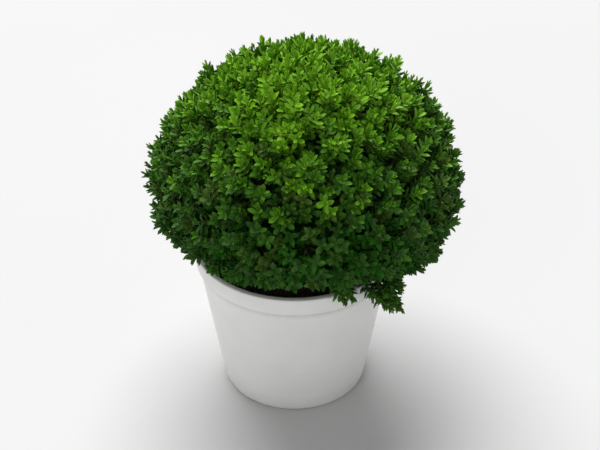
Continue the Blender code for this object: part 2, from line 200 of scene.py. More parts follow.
# A shoot bends at this share of its length straight behind its tip.
# The control points of its curve lie this share of the way from its ends to the bend.
SHOOT_BEND = 0.55
BEND_SHARE = 2 / 3

# The shoots inside the crown: their ends, as shares of its reach, their length, and their larger leaves.
INNER_SHOOTS = 700
INNER_DEPTHS = (0.2, 0.6)
INNER_LENGTH = 14
INNER_LEAF = 1.65

# Loose shoots that hang over the rim, most at the front right.
# Each has a turn, an angle down, and how far it reaches out of the dome.
LOOSE_SHOOTS = (
    (-50, 116, 3.0), (-46, 117, 4.0), (-55, 117, 4.0), (-59, 118, 5.0), (-43, 118, 4.0), (-52, 119, 7.0),
    (-48, 120, 8.0), (-56, 120, 8.0), (-44, 120, 7.0), (-50, 121, 11.0), (-54, 122, 11.0), (-47, 122, 12.0),
    (-57, 120, 7.0), (-53, 123, 14.5), (-49, 124, 15.0), (147, 111, 4.5), (-52, 124, 18.0), (155, 112, 5.5),
    (-48, 123, 17.0), (151, 109, 3.5), (-73, 115, 1.5), (-76, 118, 4.5), (-70, 120, 6.0), (-74, 121, 7.5),
)
LOOSE_LIFT = 0.5
# How high they arch over the rim on their way out.
LOOSE_ARCH = 20
# Painted light: they get greens as light as those of a shoot that stands this far out of the dome.
LOOSE_RELIEF = 10

# One leaf. Its half outlines and keels are shares of its length and of its width.
LEAF_LENGTH = 5.3
LEAF_WIDTH = 2.45
LEAF_HALF_THICKNESS = 0.26
LEAF_CUP = 0.17
LEAF_KEEL = 0.1
LEAF_SAG = 0.05
LEAF_POT_ROOM = 0.5
LEAF_LOWEST = 62
FINE_OUTLINE = ((0.2, 0.33), (0.52, 0.5), (0.8, 0.35))
FINE_KEEL = (0.2, 0.52, 0.8)
PLAIN_OUTLINE = ((0.33, 0.44), (0.72, 0.42))
PLAIN_KEEL = (0.52,)

# The pairs of leaves on a shoot, from its tip down: their sizes, and how far they lean out, in degrees.
# The lower pairs, which the upper ones half hide, are simpler, and the youngest ones are slim.
PAIR_SIZES = (0.42, 0.68, 0.88, 1.0, 1.04, 1.04, 1.02, 1.0, 0.98)
PAIR_LEANS = (9, 23, 41, 53, 59, 62, 65, 68, 70)
FINE_PAIRS = 4
SLIM_PAIRS = 2
SLIM_WIDTH = 0.72
FIRST_PAIR_BELOW = 0.3
INTERNODE = 1.5

# How much shoots and leaves differ. Springs and leans are in degrees, turns and rolls in radians.
INTERNODE_SHARES = (0.9, 1.1)
SHOOT_SPRING = 5
PAIR_SHIFT = 0.2
LEAF_TURN_SPREAD = 0.1
LEAF_LEAN_SPREAD = 4
LEAF_ROLL_SPREAD = 0.12
LEAF_SIZES = (0.9, 1.1)

# A direction that no shoot runs along, from which the turns of its leaves are counted.
OFF_AXIS = np.array((0.31, 0.52, 0.79))

# Colours are linear red, green and blue. The greens run from the youngest to the innermost, then olive;
# they are dealt by age and by spray, and also as painted shade and light.
GREENS = {
    "leaf_new": (0.188, 0.415, 0.018),
    "leaf_bright": (0.111, 0.29, 0.01),
    "leaf_full": (0.07, 0.206, 0.01),
    "leaf_deep": (0.046, 0.148, 0.012),
    "leaf_old": (0.038, 0.112, 0.017),
    "leaf_inner": (0.026, 0.135, 0.008),
    "leaf_olive": (0.07, 0.147, 0.02),
}
OLIVE = list(GREENS).index("leaf_olive")
TWIG_COLOURS = {"shoot_green": (0.075, 0.17, 0.02), "twig_brown": (0.1, 0.09, 0.04)}
BARK_COLOUR = (0.1, 0.07, 0.045)
BARK_SHADES = ((0.045, 0.03, 0.018), (0.17, 0.125, 0.085))
SOIL_COLOUR = (0.02, 0.014, 0.01)
SOIL_SHADES = ((0.008, 0.006, 0.004), (0.05, 0.034, 0.022))
POT_COLOUR = (0.6, 0.6, 0.62)
POT_SHADES = ((0.8, 0.8, 0.785), (0.84, 0.84, 0.825))
DUST_AND_SHADE_COLOUR = (0.3, 0.26, 0.2)
FLOOR_COLOUR = (0.52, 0.52, 0.52)
WORLD_COLOUR = (1, 1, 1, 1)

# Darkening on the pot, by shares of its height: darker at the foot, dust with painted shade under the rim
# band, and dust on the rim's top.
POT_DUST_AND_SHADE = (
    (0.0, 0.5), (0.03, 0.12), (0.12, 0.0),
    (0.83, 0.0), (0.874, 0.5), (0.8795, 0.6), (0.882, 0.02),
    (1.0, 0.06),
)

# A leaf's shade is the number of its green, lowest for the lightest.
# By the number of its pair: older leaves are darker.
AGE_SHADES = ((0, 1, 3, 5, 8, 10), (0.1, 0.5, 1.0, 1.6, 2.6, 3.4))
# By the height of its direction on the dome, darker lower down: partly because the leaves lower down are
# older, partly as painted shade.
AGE_AND_PAINTED_SHADE_BY_HEIGHT = ((-0.3, 0.18, 0.4, 0.6, 0.76, 0.89, 0.98), (4.2, 2.8, 1.5, 0.8, 0.0, -0.4, -1.1))
# Painted shade and light by how far its shoot stands out of the dome, in millimetres over a middle level:
# lighter further out, darker further in.
RELIEF_PAINTED_SHADE = 0.2
RELIEF_MIDDLE = -1.5
INNER_SHADE = 2.5
CLUMP_SHADE_SPREAD = 0.4
SHOOT_SHADE_SPREAD = 0.3
LEAF_SHADE_SPREAD = 0.25
# The share of the shoots that have turned olive, and the first green that it takes the place of.
OLIVE_SHARE = 0.18
OLIVE_FROM = 2

# How rough the first green is, and how much rougher each one after it.
LEAF_ROUGHNESS = 0.4
LEAF_ROUGHNESS_STEP = 0.03

# The values between which a blend runs from its first colour to its second.
BLEND_ENDS = (0.35, 0.65)

# The stage, lights and camera, in metres. Each sun has a name, a direction, a softness and a strength.
FLOOR_SIZE = 60
WORLD_STRENGTH = 0.43
SUNS = (
    ("overhead", (0.1, -0.5, -1), math.radians(50), 4.2),
    ("front_fill", (0.45, 1, -0.6), math.radians(40), 0.45),
)
VIEW_DISTANCE = 0.69
VIEW_ELEVATION = math.radians(34.5)
VIEW_AZIMUTH = math.radians(-4)
VIEW_TARGET = Vector((0.003, 0.0, 0.093))
VIEW_WIDTH = math.radians(25.4)
VIEW_CLIP = (0.02, 20)
SENSOR_WIDTH = 36


# Directions and the crown's form.


def unit(vectors):
    return vectors / np.maximum(np.linalg.norm(vectors, axis=-1, keepdims=True), 1e-9)


def from_angles(down, turn):
    """Unit vector at an angle down from straight up, turned anticlockwise from +X seen from above."""
    return np.stack((np.sin(down) * np.cos(turn), np.sin(down) * np.sin(turn), np.cos(down) + 0 * turn), -1)


def spiral(count, lowest=CROWN_LOWEST_ANGLE):
    """Directions spread evenly over the dome, from the top down to the lowest angle."""
    number = np.arange(count)
    height = 1 - (number + 0.5) / count * (1 - math.cos(lowest))
    return from_angles(np.arccos(height), number * GOLDEN_TURN)


def overhang(direction):
    """How near each direction is to where the crown hangs lower over the rim: 1 if straight to it."""
    turn = np.arctan2(direction[..., 1], direction[..., 0])
    return np.max([np.maximum(0, np.cos(turn - at)) ** OVERHANG_SHARPNESS for at in OVERHANG_TURNS], axis=0)


def crown_reach(direction):
    """Distance from the crown's centre to its outline, along each direction."""
    turn = np.arctan2(direction[..., 1], direction[..., 0])
    across = CROWN_RADIUS * (1 + CROWN_LOBE * np.cos(2 * (turn - CROWN_LOBE_TURN)))
    near = overhang(direction)
    above = direction[..., 2] >= 0
    along = np.where(above, CROWN_RISE, CROWN_DROP + OVERHANG_DROP * near)
    fullness = np.where(above, CROWN_FULLNESS, UNDERSIDE_FULLNESS)
    flat = np.hypot(direction[..., 0], direction[..., 1]) / across
    steep = np.abs(direction[..., 2]) / along
    return (flat**fullness + steep**fullness) ** (-1 / fullness)


def mass_sites():
    """The middle direction of each mass of foliage."""
    sites = {"top": np.array((0.0, 0.0, 1.0))}
    for number in range(UPPER_MASSES):
        sites[f"upper_{number + 1}"] = from_angles(UPPER_ANGLE, TAU * number / UPPER_MASSES - math.pi / 2)
    for number in range(LOWER_MASSES):
        turn = TAU * number / LOWER_MASSES - math.pi / 2 + LOWER_TURN
        sites[f"lower_{number + 1}"] = from_angles(LOWER_ANGLE, turn)
    return sites


def kind_of(name):
    """Whether a mass is the top one, an upper or a lower one."""
    return name.split("_")[0]


def pot_wall_radius(height):
    """Outer radius of the pot's wall under the rim band."""
    top = POT_RIM_RADIUS - RIM_BAND_DRAFT - RIM_BAND_STEP
    return POT_BASE_RADIUS + height / (POT_HEIGHT - RIM_BAND_HEIGHT) * (top - POT_BASE_RADIUS)


def pot_inner_radius(height):
    return pot_wall_radius(np.minimum(height, POT_HEIGHT - RIM_BAND_HEIGHT)) - POT_WALL


def soil_top(radius):
    edge = pot_inner_radius(POT_HEIGHT) - CLEARANCE
    share = np.maximum(0, (radius - SOIL_PLATEAU_RADIUS) / (edge - SOIL_PLATEAU_RADIUS))
    return POT_HEIGHT - SOIL_BELOW_RIM - SOIL_MOUND * share * share


def clear_of_pot(points, room):
    """For each point, whether it is over the rim, over the soil inside it, or outside the pot."""
    radius = np.hypot(points[..., 0], points[..., 1])
    inside = pot_inner_radius(POT_HEIGHT) - room
    lowest = np.where(radius > POT_RIM_RADIUS + room, LEAF_LOWEST, POT_HEIGHT + room)
    lowest = np.where(radius < inside, soil_top(radius) + room, lowest)
    return points[..., 2] > lowest


# Meshes from arrays.


def solid_of(name, points, corners, materials, kinds=None):
    """An object from an array of points in millimetres and an array of triangles."""
    mesh = bpy.data.meshes.new(name)
    mesh.vertices.add(len(points))
    mesh.vertices.foreach_set("co", (points * MM).astype(np.float32).ravel())
    mesh.loops.add(corners.size)
    mesh.loops.foreach_set("vertex_index", corners.astype(np.int32).ravel())
    mesh.polygons.add(len(corners))
    mesh.polygons.foreach_set("loop_start", np.arange(0, corners.size, 3, dtype=np.int32))
    if kinds is not None:
        mesh.polygons.foreach_set("material_index", kinds.astype(np.int32))
    mesh.polygons.foreach_set("use_smooth", np.full(len(corners), True))
    mesh.update(calc_edges=True)
    for material in materials:
        mesh.materials.append(material)
    obj = bpy.data.objects.new(name, mesh)
    bpy.context.scene.collection.objects.link(obj)
    return obj


def place(obj, slot, *nodes):
    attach(obj, "root")
    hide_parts(*nodes)


def chosen(rows, which):
    """The same rows of every array in a set of them."""
    return SimpleNamespace(**{name: values[which] for name, values in vars(rows).items()})


def joined(sets):
    """One set of arrays from several with the same names."""
    names = vars(sets[0])
    return SimpleNamespace(**{name: np.concatenate([vars(rows)[name] for rows in sets]) for name in names})


def join_arrays(parts):
    """One array of points and one of triangles from several."""
    points = []
    corners = []
    start = 0
    for part_points, part_corners in parts:
        points.append(part_points)
        corners.append(part_corners + start)
        start += len(part_points)
    return np.concatenate(points), np.concatenate(corners)


def tube_triangles(rings, sides):
    """Triangles of one tube: its sides, and a fan on each end round a point of its own."""
    pattern = []
    for ring in range(rings - 1):
        for number in range(sides):
            here = ring * sides + number
            beside = ring * sides + (number + 1) % sides
            pattern.append((here, beside, beside + sides))
            pattern.append((here, beside + sides, here + sides))
    last = (rings - 1) * sides
    for number in range(sides):
        beside = (number + 1) % sides
        pattern.append((rings * sides, beside, number))
        pattern.append((rings * sides + 1, last + number, last + beside))
    return np.array(pattern)


def tubes(lines, radii, sides, relief=None):
    """Tubes with closed ends, from lines (tubes, points, 3) and radii (tubes, points)."""
    count, rings, _ = lines.shape
    along = unit(np.gradient(lines, axis=1))
    chord = unit(lines[:, -1] - lines[:, 0])
    axes = np.eye(3)
    reference = axes[np.argmin(np.abs(chord), axis=1)][:, None]
    side = unit(np.cross(along, reference))
    other = np.cross(along, side)
    turns = TAU * np.arange(sides) / sides
    around = side[:, :, None] * np.cos(turns)[:, None] + other[:, :, None] * np.sin(turns)[:, None]
    size = np.repeat(radii[:, :, None], sides, axis=2)
    if relief is not None:
        size = size + relief(size, turns)
    ring_points = lines[:, :, None] + around * size[..., None]
    ends = np.stack((lines[:, 0], lines[:, -1]), axis=1)
    points = np.concatenate((ring_points.reshape(count, -1, 3), ends), axis=1)
    starts = np.arange(count) * points.shape[1]
    corners = tube_triangles(rings, sides)[None] + starts[:, None, None]
    return points.reshape(-1, 3), corners.reshape(-1, 3)


def tapered(lines, ends, sides, relief=None):
    """Tubes whose radii run evenly from the one at their foot to the one at their tip."""
    radii = np.repeat(np.linspace(*ends, lines.shape[1])[None], len(lines), axis=0)
    return tubes(lines, radii, sides, relief)


def bezier(knots, count):
    """Points on curves through control points: knots is (curves, controls, 3)."""
    degree = knots.shape[1] - 1
    share = np.linspace(0, 1, count)
    weights = [math.comb(degree, k) * share**k * (1 - share) ** (degree - k) for k in range(degree + 1)]
    return np.einsum("kp,ckx->cpx", np.array(weights), knots)


# Materials. Their scales count over a metre, and the distances of their bumps are in metres.


class Nodes:
    """A material with a Principled surface, and short ways to add to its tree."""

    def __init__(self, name, colour, roughness):
        self.material = bpy.data.materials.new(name)
        self.material.use_nodes = True
        self.tree = self.material.node_tree
        self.surface = self.tree.nodes["Principled BSDF"]
        self.surface.inputs["Base Color"].default_value = (*colour, 1)
        self.surface.inputs["Roughness"].default_value = roughness
        self.place = self.add("ShaderNodeTexCoord").outputs["Object"]

    def add(self, kind, **settings):
        node = self.tree.nodes.new(kind)
        for key, value in settings.items():
            setattr(node, key, value)
        return node

    def link(self, start, end):
        self.tree.links.new(start, end)

    def feed(self, name, value):
        """Let a socket set one of the surface's inputs."""
        self.link(value, self.surface.inputs[name])

    def noise(self, scale, detail=3, roughness=0.5, stretch=None):
        node = self.add("ShaderNodeTexNoise")
        node.inputs["Scale"].default_value = scale
        node.inputs["Detail"].default_value = detail
        node.inputs["Roughness"].default_value = roughness
        place = self.place
        if stretch:
            mapping = self.add("ShaderNodeMapping")
            mapping.inputs["Scale"].default_value = stretch
            self.link(place, mapping.inputs["Vector"])
            place = mapping.outputs["Vector"]
        self.link(place, node.inputs["Vector"])
        return node.outputs["Fac"]

    def spread(self, value, low, high, start=0.3, end=0.7):
        """A value between start and end, brought to between low and high."""
        node = self.add("ShaderNodeMapRange")
        node.inputs["From Min"].default_value = start
        node.inputs["From Max"].default_value = end
        node.inputs["To Min"].default_value = low
        node.inputs["To Max"].default_value = high
        self.link(value, node.inputs["Value"])
        return node.outputs["Result"]

    def blend(self, value, first, second):
        """A colour from the first one, where the value is low, to the second."""
        ramp = self.add("ShaderNodeValToRGB")
        for element, position, colour in zip(ramp.color_ramp.elements, BLEND_ENDS, (first, second)):
            element.position = position
            element.color = (*colour, 1)
        self.link(value, ramp.inputs["Fac"])
        return ramp.outputs["Color"]

    def height_ramp(self, top, stops):
        """A grey from 0 to 1 by the height over the ground: each stop is a share of the top and a level."""
        parts = self.add("ShaderNodeSeparateXYZ")
        self.link(self.place, parts.inputs["Vector"])
        ramp = self.add("ShaderNodeValToRGB")
        elements = ramp.color_ramp.elements
        while len(elements) < len(stops):
            elements.new(1)
        for element, (share, level) in zip(elements, stops):
            element.position = share
            element.color = (level, level, level, 1)
        self.link(self.spread(parts.outputs["Z"], 0, 1, 0, top), ramp.inputs["Fac"])
        return ramp.outputs["Color"]

    def times(self, first, second):
        node = self.add("ShaderNodeMath", operation="MULTIPLY")
        self.link(first, node.inputs[0])
        self.link(second, node.inputs[1])
        return node.outputs["Value"]

    def mix(self, share, colour, other):
        """A colour socket mixed with a plain colour, by a share from a socket."""
        node = self.add("ShaderNodeMix", data_type="RGBA")
        self.link(share, node.inputs["Factor"])
        self.link(colour, node.inputs["A"])
        node.inputs["B"].default_value = (*other, 1)
        return node.outputs["Result"]

    def bump(self, value, strength, distance):
        node = self.add("ShaderNodeBump")
        node.inputs["Strength"].default_value = strength
        node.inputs["Distance"].default_value = distance
        self.link(value, node.inputs["Height"])
        self.feed("Normal", node.outputs["Normal"])


def leaf_material(name, colour, roughness):
    """A plain green with a waxy shine that varies over the blade, and faint veins and dimples in it."""
    made = Nodes(name, colour, LEAF_ROUGHNESS)
    shine = made.noise(scale=900, detail=2)
    made.feed("Roughness", made.spread(shine, low=roughness - 0.06, high=roughness + 0.12))
    made.bump(made.noise(scale=1400, detail=2), strength=0.25, distance=0.0002)
    made.surface.inputs["Specular IOR Level"].default_value = 0.15
    return made.material


def bark_material():
    """Grey-brown bark with fine grooves along the limbs."""
    made = Nodes("hebe_bark", BARK_COLOUR, roughness=0.85)
    grain = made.noise(scale=420, detail=6, roughness=0.65, stretch=(1, 1, 0.22))
    made.feed("Base Color", made.blend(grain, *BARK_SHADES))
    made.feed("Roughness", made.spread(grain, low=0.75, high=0.95))
    made.bump(grain, strength=0.8, distance=0.0006)
    return made.material


def twig_material(name, colour):
    """The smooth young bark of shoots and twigs."""
    made = Nodes(name, colour, roughness=0.6)
    made.feed("Roughness", made.spread(made.noise(scale=500), low=0.5, high=0.75))
    made.bump(made.noise(scale=800, detail=4), strength=0.4, distance=0.0003)
    return made.material


def pot_material():
    """Thin off-white moulded plastic: satin, very slightly uneven, darker at the foot, with dust and
    painted shade under the rim band and a little dust on the rim's top.
    """
    made = Nodes("pot_plastic", POT_COLOUR, roughness=0.4)
    clean = made.blend(made.noise(scale=38, detail=4, roughness=0.6), *POT_SHADES)
    # Darker at the foot, dust with painted shade under the rim band, and a little dust on the rim's top,
    # broken into patches.
    height = made.height_ramp(POT_HEIGHT * MM, POT_DUST_AND_SHADE)
    patches = made.spread(made.noise(scale=110, detail=5, roughness=0.65), low=0.35, high=1)
    made.feed("Base Color", made.mix(made.times(height, patches), clean, DUST_AND_SHADE_COLOUR))
    made.feed("Roughness", made.spread(made.noise(scale=160, detail=4, roughness=0.6), low=0.34, high=0.52))
    made.bump(made.noise(scale=900, detail=2), strength=0.12, distance=0.0002)
    made.surface.inputs["Subsurface Weight"].default_value = 0.08
    made.surface.inputs["Subsurface Radius"].default_value = (1, 1, 1)
    made.surface.inputs["Subsurface Scale"].default_value = 0.003
    return made.material


def soil_material():
    """Dark moist potting mix with fine grains."""
    made = Nodes("potting_soil", SOIL_COLOUR, roughness=0.95)
    grain = made.noise(scale=650, detail=6, roughness=0.7)
    made.feed("Base Color", made.blend(grain, *SOIL_SHADES))
    made.feed("Roughness", made.spread(grain, low=0.8, high=1))
    made.bump(grain, strength=1, distance=0.0008)
    return made.material


# The pot and its soil.


def arc(across, height, start, end):
    """Points on a small rounding, of the rim's radius, between two angles in degrees."""
    turns = np.radians(np.linspace(start, end, ROUNDING_POINTS))
    return [(across + RIM_ROUNDING * math.cos(t), height + RIM_ROUNDING * math.sin(t)) for t in turns]


def pot_profile():
    """Outline of the turned pot: from the middle of its floor, over the rim, to the middle underneath."""
    floor_top = BASE_RECESS + POT_WALL
    band_foot = POT_HEIGHT - RIM_BAND_HEIGHT
    outer_foot = POT_BASE_RADIUS - RIM_ROUNDING
    inner_foot = outer_foot - FOOT_WIDTH
    inner = pot_inner_radius(band_foot)
    inner_heights = np.linspace(floor_top, band_foot, WALL_POINTS)
    outer_heights = np.linspace(band_foot - RIM_ROUNDING / 2, RIM_ROUNDING, WALL_POINTS)
    line = [(0, floor_top), (HUB_RADIUS, floor_top)]
    line += [(pot_inner_radius(height), height) for height in inner_heights]
    line.append((inner, POT_HEIGHT - RIM_ROUNDING))
    line += arc(inner + RIM_ROUNDING, POT_HEIGHT - RIM_ROUNDING, 180, 90)
    line += arc(POT_RIM_RADIUS - RIM_ROUNDING, POT_HEIGHT - RIM_ROUNDING, 90, 0)
    line += arc(POT_RIM_RADIUS - RIM_BAND_DRAFT - RIM_ROUNDING, band_foot + RIM_ROUNDING, 0, -90)
    line += [(pot_wall_radius(height), height) for height in outer_heights]
    line += arc(outer_foot, RIM_ROUNDING, 0, -90)
    line += [(inner_foot, 0), (inner_foot - BASE_RECESS / 2, BASE_RECESS)]
    line += [(HUB_RADIUS + BASE_RECESS / 2, BASE_RECESS), (HUB_RADIUS, 0), (0, 0)]
    return line


def turned(profile, steps):
    """Points and triangles of a profile turned round the pot's axis. The profile starts and ends on it."""
    line = np.array(profile[1:-1])
    turns = TAU * np.arange(steps) / steps
    around = np.stack((np.cos(turns), np.sin(turns)), -1)
    across = line[:, 0, None, None] * around[None]
    heights = np.broadcast_to(line[:, 1, None, None], (len(line), steps, 1))
    rings = np.concatenate((across, heights), -1)
    middle = np.array(((0, 0, profile[0][1]), (0, 0, profile[-1][1])), float)
    number = np.arange(steps)
    beside = (number + 1) % steps
    corners = []
    for ring in range(len(line) - 1):
        here = ring * steps
        corners.append(np.stack((here + number, here + steps + number, here + steps + beside), -1))
        corners.append(np.stack((here + number, here + steps + beside, here + beside), -1))
    first = len(line) * steps
    last = (len(line) - 1) * steps
    corners.append(np.stack((np.full(steps, first), number, beside), -1))
    corners.append(np.stack((np.full(steps, first + 1), last + beside, last + number), -1))
    return np.concatenate((rings.reshape(-1, 3), middle)), np.concatenate(corners)


def cut_drain_hole(pot, turn):
    middle = Vector((DRAIN_CIRCLE * math.cos(turn), DRAIN_CIRCLE * math.sin(turn), BASE_RECESS)) * MM
    bpy.ops.mesh.primitive_cylinder_add(
        vertices=DRAIN_HOLE_STEPS,
        radius=DRAIN_HOLE_RADIUS * MM,
        depth=DRAIN_CUTTER_DEPTH * MM,
        location=middle,
    )
    cutter = bpy.context.object
    cut = pot.modifiers.new("drain", "BOOLEAN")
    cut.operation = "DIFFERENCE"
    cut.solver = "EXACT"
    cut.object = cutter
    bpy.context.view_layer.objects.active = pot
    bpy.ops.object.modifier_apply(modifier=cut.name)
    bpy.data.objects.remove(cutter, do_unlink=True)


def make_pot(material):
    points, corners = turned(pot_profile(), POT_STEPS)
    pot = solid_of("pot_shell", points, corners, [material])
    bm = bmesh.new()
    bm.from_mesh(pot.data)
    bmesh.ops.recalc_face_normals(bm, faces=bm.faces[:])
    bm.to_mesh(pot.data)
    bm.free()
    for number in range(DRAIN_HOLES):
        cut_drain_hole(pot, TAU * (number + 0.5) / DRAIN_HOLES)
    for face in pot.data.polygons:
        face.use_smooth = True
    pot.data.set_sharp_from_angle(angle=SHARP_EDGE_ANGLE)
    place(pot, "pot_plastic", "pot")


def crumbs(places, sizes, dice):
    """Small uneven lumps, one at each place."""
    bm = bmesh.new()
    bmesh.ops.create_icosphere(bm, subdivisions=1, radius=1)
    shape = np.array([vert.co for vert in bm.verts])
    corners = np.array([[vert.index for vert in face.verts] for face in bm.faces])
    bm.free()
    lumps = shape[None] * dice.uniform(*CRUMB_CORNER_SHARES, (len(places), len(shape), 1))
    stretch = dice.uniform(*CRUMB_STRETCHES, (len(places), 1, 3))
    points = places[:, None] + lumps * stretch * sizes[:, None, None]
    all_corners = corners[None] + (np.arange(len(places)) * len(shape))[:, None, None]
    return points.reshape(-1, 3), all_corners.reshape(-1, 3)


def crumbs_on_soil(edge, dice):
    spread = np.sqrt(dice.uniform(*CRUMB_AREA_SHARES, CRUMBS)) * (edge - CRUMB_WALL_GAP)
    turn = dice.uniform(0, TAU, CRUMBS)
    sizes = dice.uniform(*CRUMB_SIZES, CRUMBS)
    height = soil_top(spread) + sizes * CRUMB_LIFT_SHARE
    return crumbs(np.stack((spread * np.cos(turn), spread * np.sin(turn), height), -1), sizes, dice)


def make_soil(material, dice):
    """The uneven top of the soil and its side down to the pot's floor, with loose crumbs on it."""
    edge = pot_inner_radius(POT_HEIGHT) - CLEARANCE
    low = BASE_RECESS + POT_WALL + CLEARANCE
    profile = [(0, float(soil_top(0)))]
    profile += [(radius, float(soil_top(radius))) for radius in np.linspace(0, edge, SOIL_RINGS + 1)[1:]]
    side_heights = np.linspace(POT_HEIGHT - SOIL_SIDE_BELOW_RIM, low, SOIL_SIDE_RINGS)
    profile += [(pot_inner_radius(height) - CLEARANCE, height) for height in side_heights]
    profile.append((0, low))
    points, corners = turned(profile, SOIL_STEPS)
    top = points[:, 2] > POT_HEIGHT - SOIL_BELOW_RIM - SOIL_MOUND - SOIL_TOP_MARGIN
    radius = np.hypot(points[:, 0], points[:, 1])
    inner = top & (radius < edge - SOIL_EDGE_WIDTH)
    points[inner, 2] += dice.uniform(*SOIL_RISES, inner.sum())
    points[inner, :2] += dice.uniform(*SOIL_SHIFTS, (inner.sum(), 2))
    arrays = join_arrays([(points, corners), crumbs_on_soil(edge, dice)])
    place(solid_of("soil_surface", *arrays, [material]), "potting_soil", "potting_soil")


# The woody limbs.


def stem_point(height):
    share = height / STEM_HEIGHT
    return np.array((STEM_LEAN * share * share, 0, soil_top(0) + CLEARANCE + height))


def stem_radius(height):
    share = height / STEM_HEIGHT
    flare = (STEM_FOOT_RADIUS - STEM_RADIUS) * np.exp(-share / STEM_FLARE_SHARE)
    return STEM_RADIUS * (1 - STEM_TAPER * share) + flare


def bough_knots(kind, direction):
    """Foot, four control points and tip of a bough, from the stem to the inner side of its mass."""
    tip = CROWN + direction * ((crown_reach(direction) - CORE_DEPTH) * CORE_INNER_SHARE - BOUGH_END_GAP)
    if kind == "top":
        foot = stem_point(STEM_HEIGHT)
        leave = np.array((0.0, 0.0, 1.0))
    else:
        level = BOUGH_FOOT_LEVELS[kind]
        leave = unit(np.array((direction[0], direction[1], 0)))
        foot = stem_point(level) + leave * (stem_radius(level) - BOUGH_FOOT_DEPTH)
    span = np.linalg.norm(tip - foot)
    first = foot + leave * BOUGH_STRAIGHT
    second = foot + leave * BOUGH_LEAVING * span
    third = tip - direction * BOUGH_ARRIVING * span
    fourth = tip - direction * BOUGH_STRAIGHT
    return foot, (first, second, third, fourth), tip


def bough_line(kind, direction):
    foot, knots, tip = bough_knots(kind, direction)
    return np.concatenate(([foot], bezier(np.array([knots]), BOUGH_CURVE_POINTS)[0], [tip]))


def bough_lines(sites):
    return np.array([bough_line(kind_of(name), site) for name, site in sites.items()])


def furrows(depth, dice):
    """Relief of the bark: ridges along the limb that wander a little, and knots."""
    phases = dice.uniform(0, TAU, 4)

    def relief(size, turns):
        ring = np.arange(size.shape[1])[None, :, None]
        waves = 0
        for (count, height, winding), phase in zip(RIDGES, phases):
            waves = waves + height * np.sin(count * turns + phase + winding * ring)
        knots = np.sin(KNOT_CLOSENESS * ring + phases[2]) * np.sin(KNOTS_AROUND * turns + phases[3])
        grain = dice.uniform(-1, 1, size.shape)
        return size * depth * (waves + KNOT_HEIGHT * knots + BARK_GRAIN * grain)

    return relief


def make_bark(sites, material, dice):
    heights = np.linspace(0, STEM_HEIGHT, STEM_RINGS)
    stem_line = np.array([stem_point(height) for height in heights])[None]
    stem = tubes(stem_line, stem_radius(heights)[None], STEM_SIDES, furrows(STEM_RELIEF, dice))
    boughs = tapered(bough_lines(sites), BOUGH_RADII, BOUGH_SIDES, furrows(BOUGH_RELIEF, dice))
    bark = solid_of("bark_limbs", *join_arrays([stem, boughs]), [material])
    place(bark, "bark", "main_stem", *[f"bough_{name}" for name in sites])


# The twigs and shoots. A set of them holds arrays that have a row for each.


def grow_twigs(sites):
    """The twigs of the solids: direction, root, tip, number of the mass, and line from its bough's tip."""
    direction = spiral(TWIGS)
    tip = CROWN + direction * (crown_reach(direction) - TWIG_TIP_BELOW)[:, None]
    root = CROWN + (tip - CROWN) * TWIG_ROOT_SHARE
    root[:, 2] = np.maximum(root[:, 2] - TWIG_LIFT * (1 - direction[:, 2]), CORE_LOWEST + TWIG_LIFT)
    middles = np.array(list(sites.values()))
    mass = np.argmax(direction @ middles.T, axis=1)
    starts = np.array([bough_knots(kind_of(name), site)[2] for name, site in sites.items()])[mass]
    reach = np.linalg.norm(tip - starts, axis=1, keepdims=True)
    leaving = starts + middles[mass] * reach * TWIG_LEAVING
    line = bezier(np.stack((starts, leaving, root, tip), axis=1), TWIG_POINTS)
    return SimpleNamespace(direction=direction, root=root, tip=tip, mass=mass, line=line)


def shoot_directions(dice):
    """Directions of the shoots, which of them are inner ones, and which hang over the rim."""
    direction = np.concatenate((spiral(SHOOTS, SHOOT_LOWEST_ANGLE), spiral(INNER_SHOOTS)))
    direction = unit(direction + dice.normal(0, SHOOT_SCATTER, direction.shape))
    turn, down, _ = np.array(LOOSE_SHOOTS, float).T
    direction = np.concatenate((direction, from_angles(np.radians(down), np.radians(turn))))
    number = np.arange(len(direction))
    hangs = number >= SHOOTS + INNER_SHOOTS
    inner = (number >= SHOOTS) & ~hangs
    return direction, inner, hangs


def clump_levels(direction, middle, reach, clump, dice):
    """How far the rounded clumps bring each shoot's end out of the dome."""
    count = len(direction)
    away = np.linalg.norm(direction - middle, axis=1) * reach / CLUMP_RADIUS
    level = dice.uniform(-1, 1, CLUMPS)[clump] * CLUMP_SPREAD
    level = level - np.minimum(away, CLUMP_EDGE) ** 2 * CLUMP_ROUNDNESS
    below = (middle - direction)[:, 2] * reach / CLUMP_RADIUS
    level -= np.clip(below, *CLUMP_UNDERCUT_REACH) * CLUMP_UNDERCUT
    level += dice.uniform(-1, 1, count) * SHOOT_SPREAD
    proud = dice.uniform(size=count) < PROUD_SHARE
    return level + proud * dice.uniform(*PROUD_RISE, count)


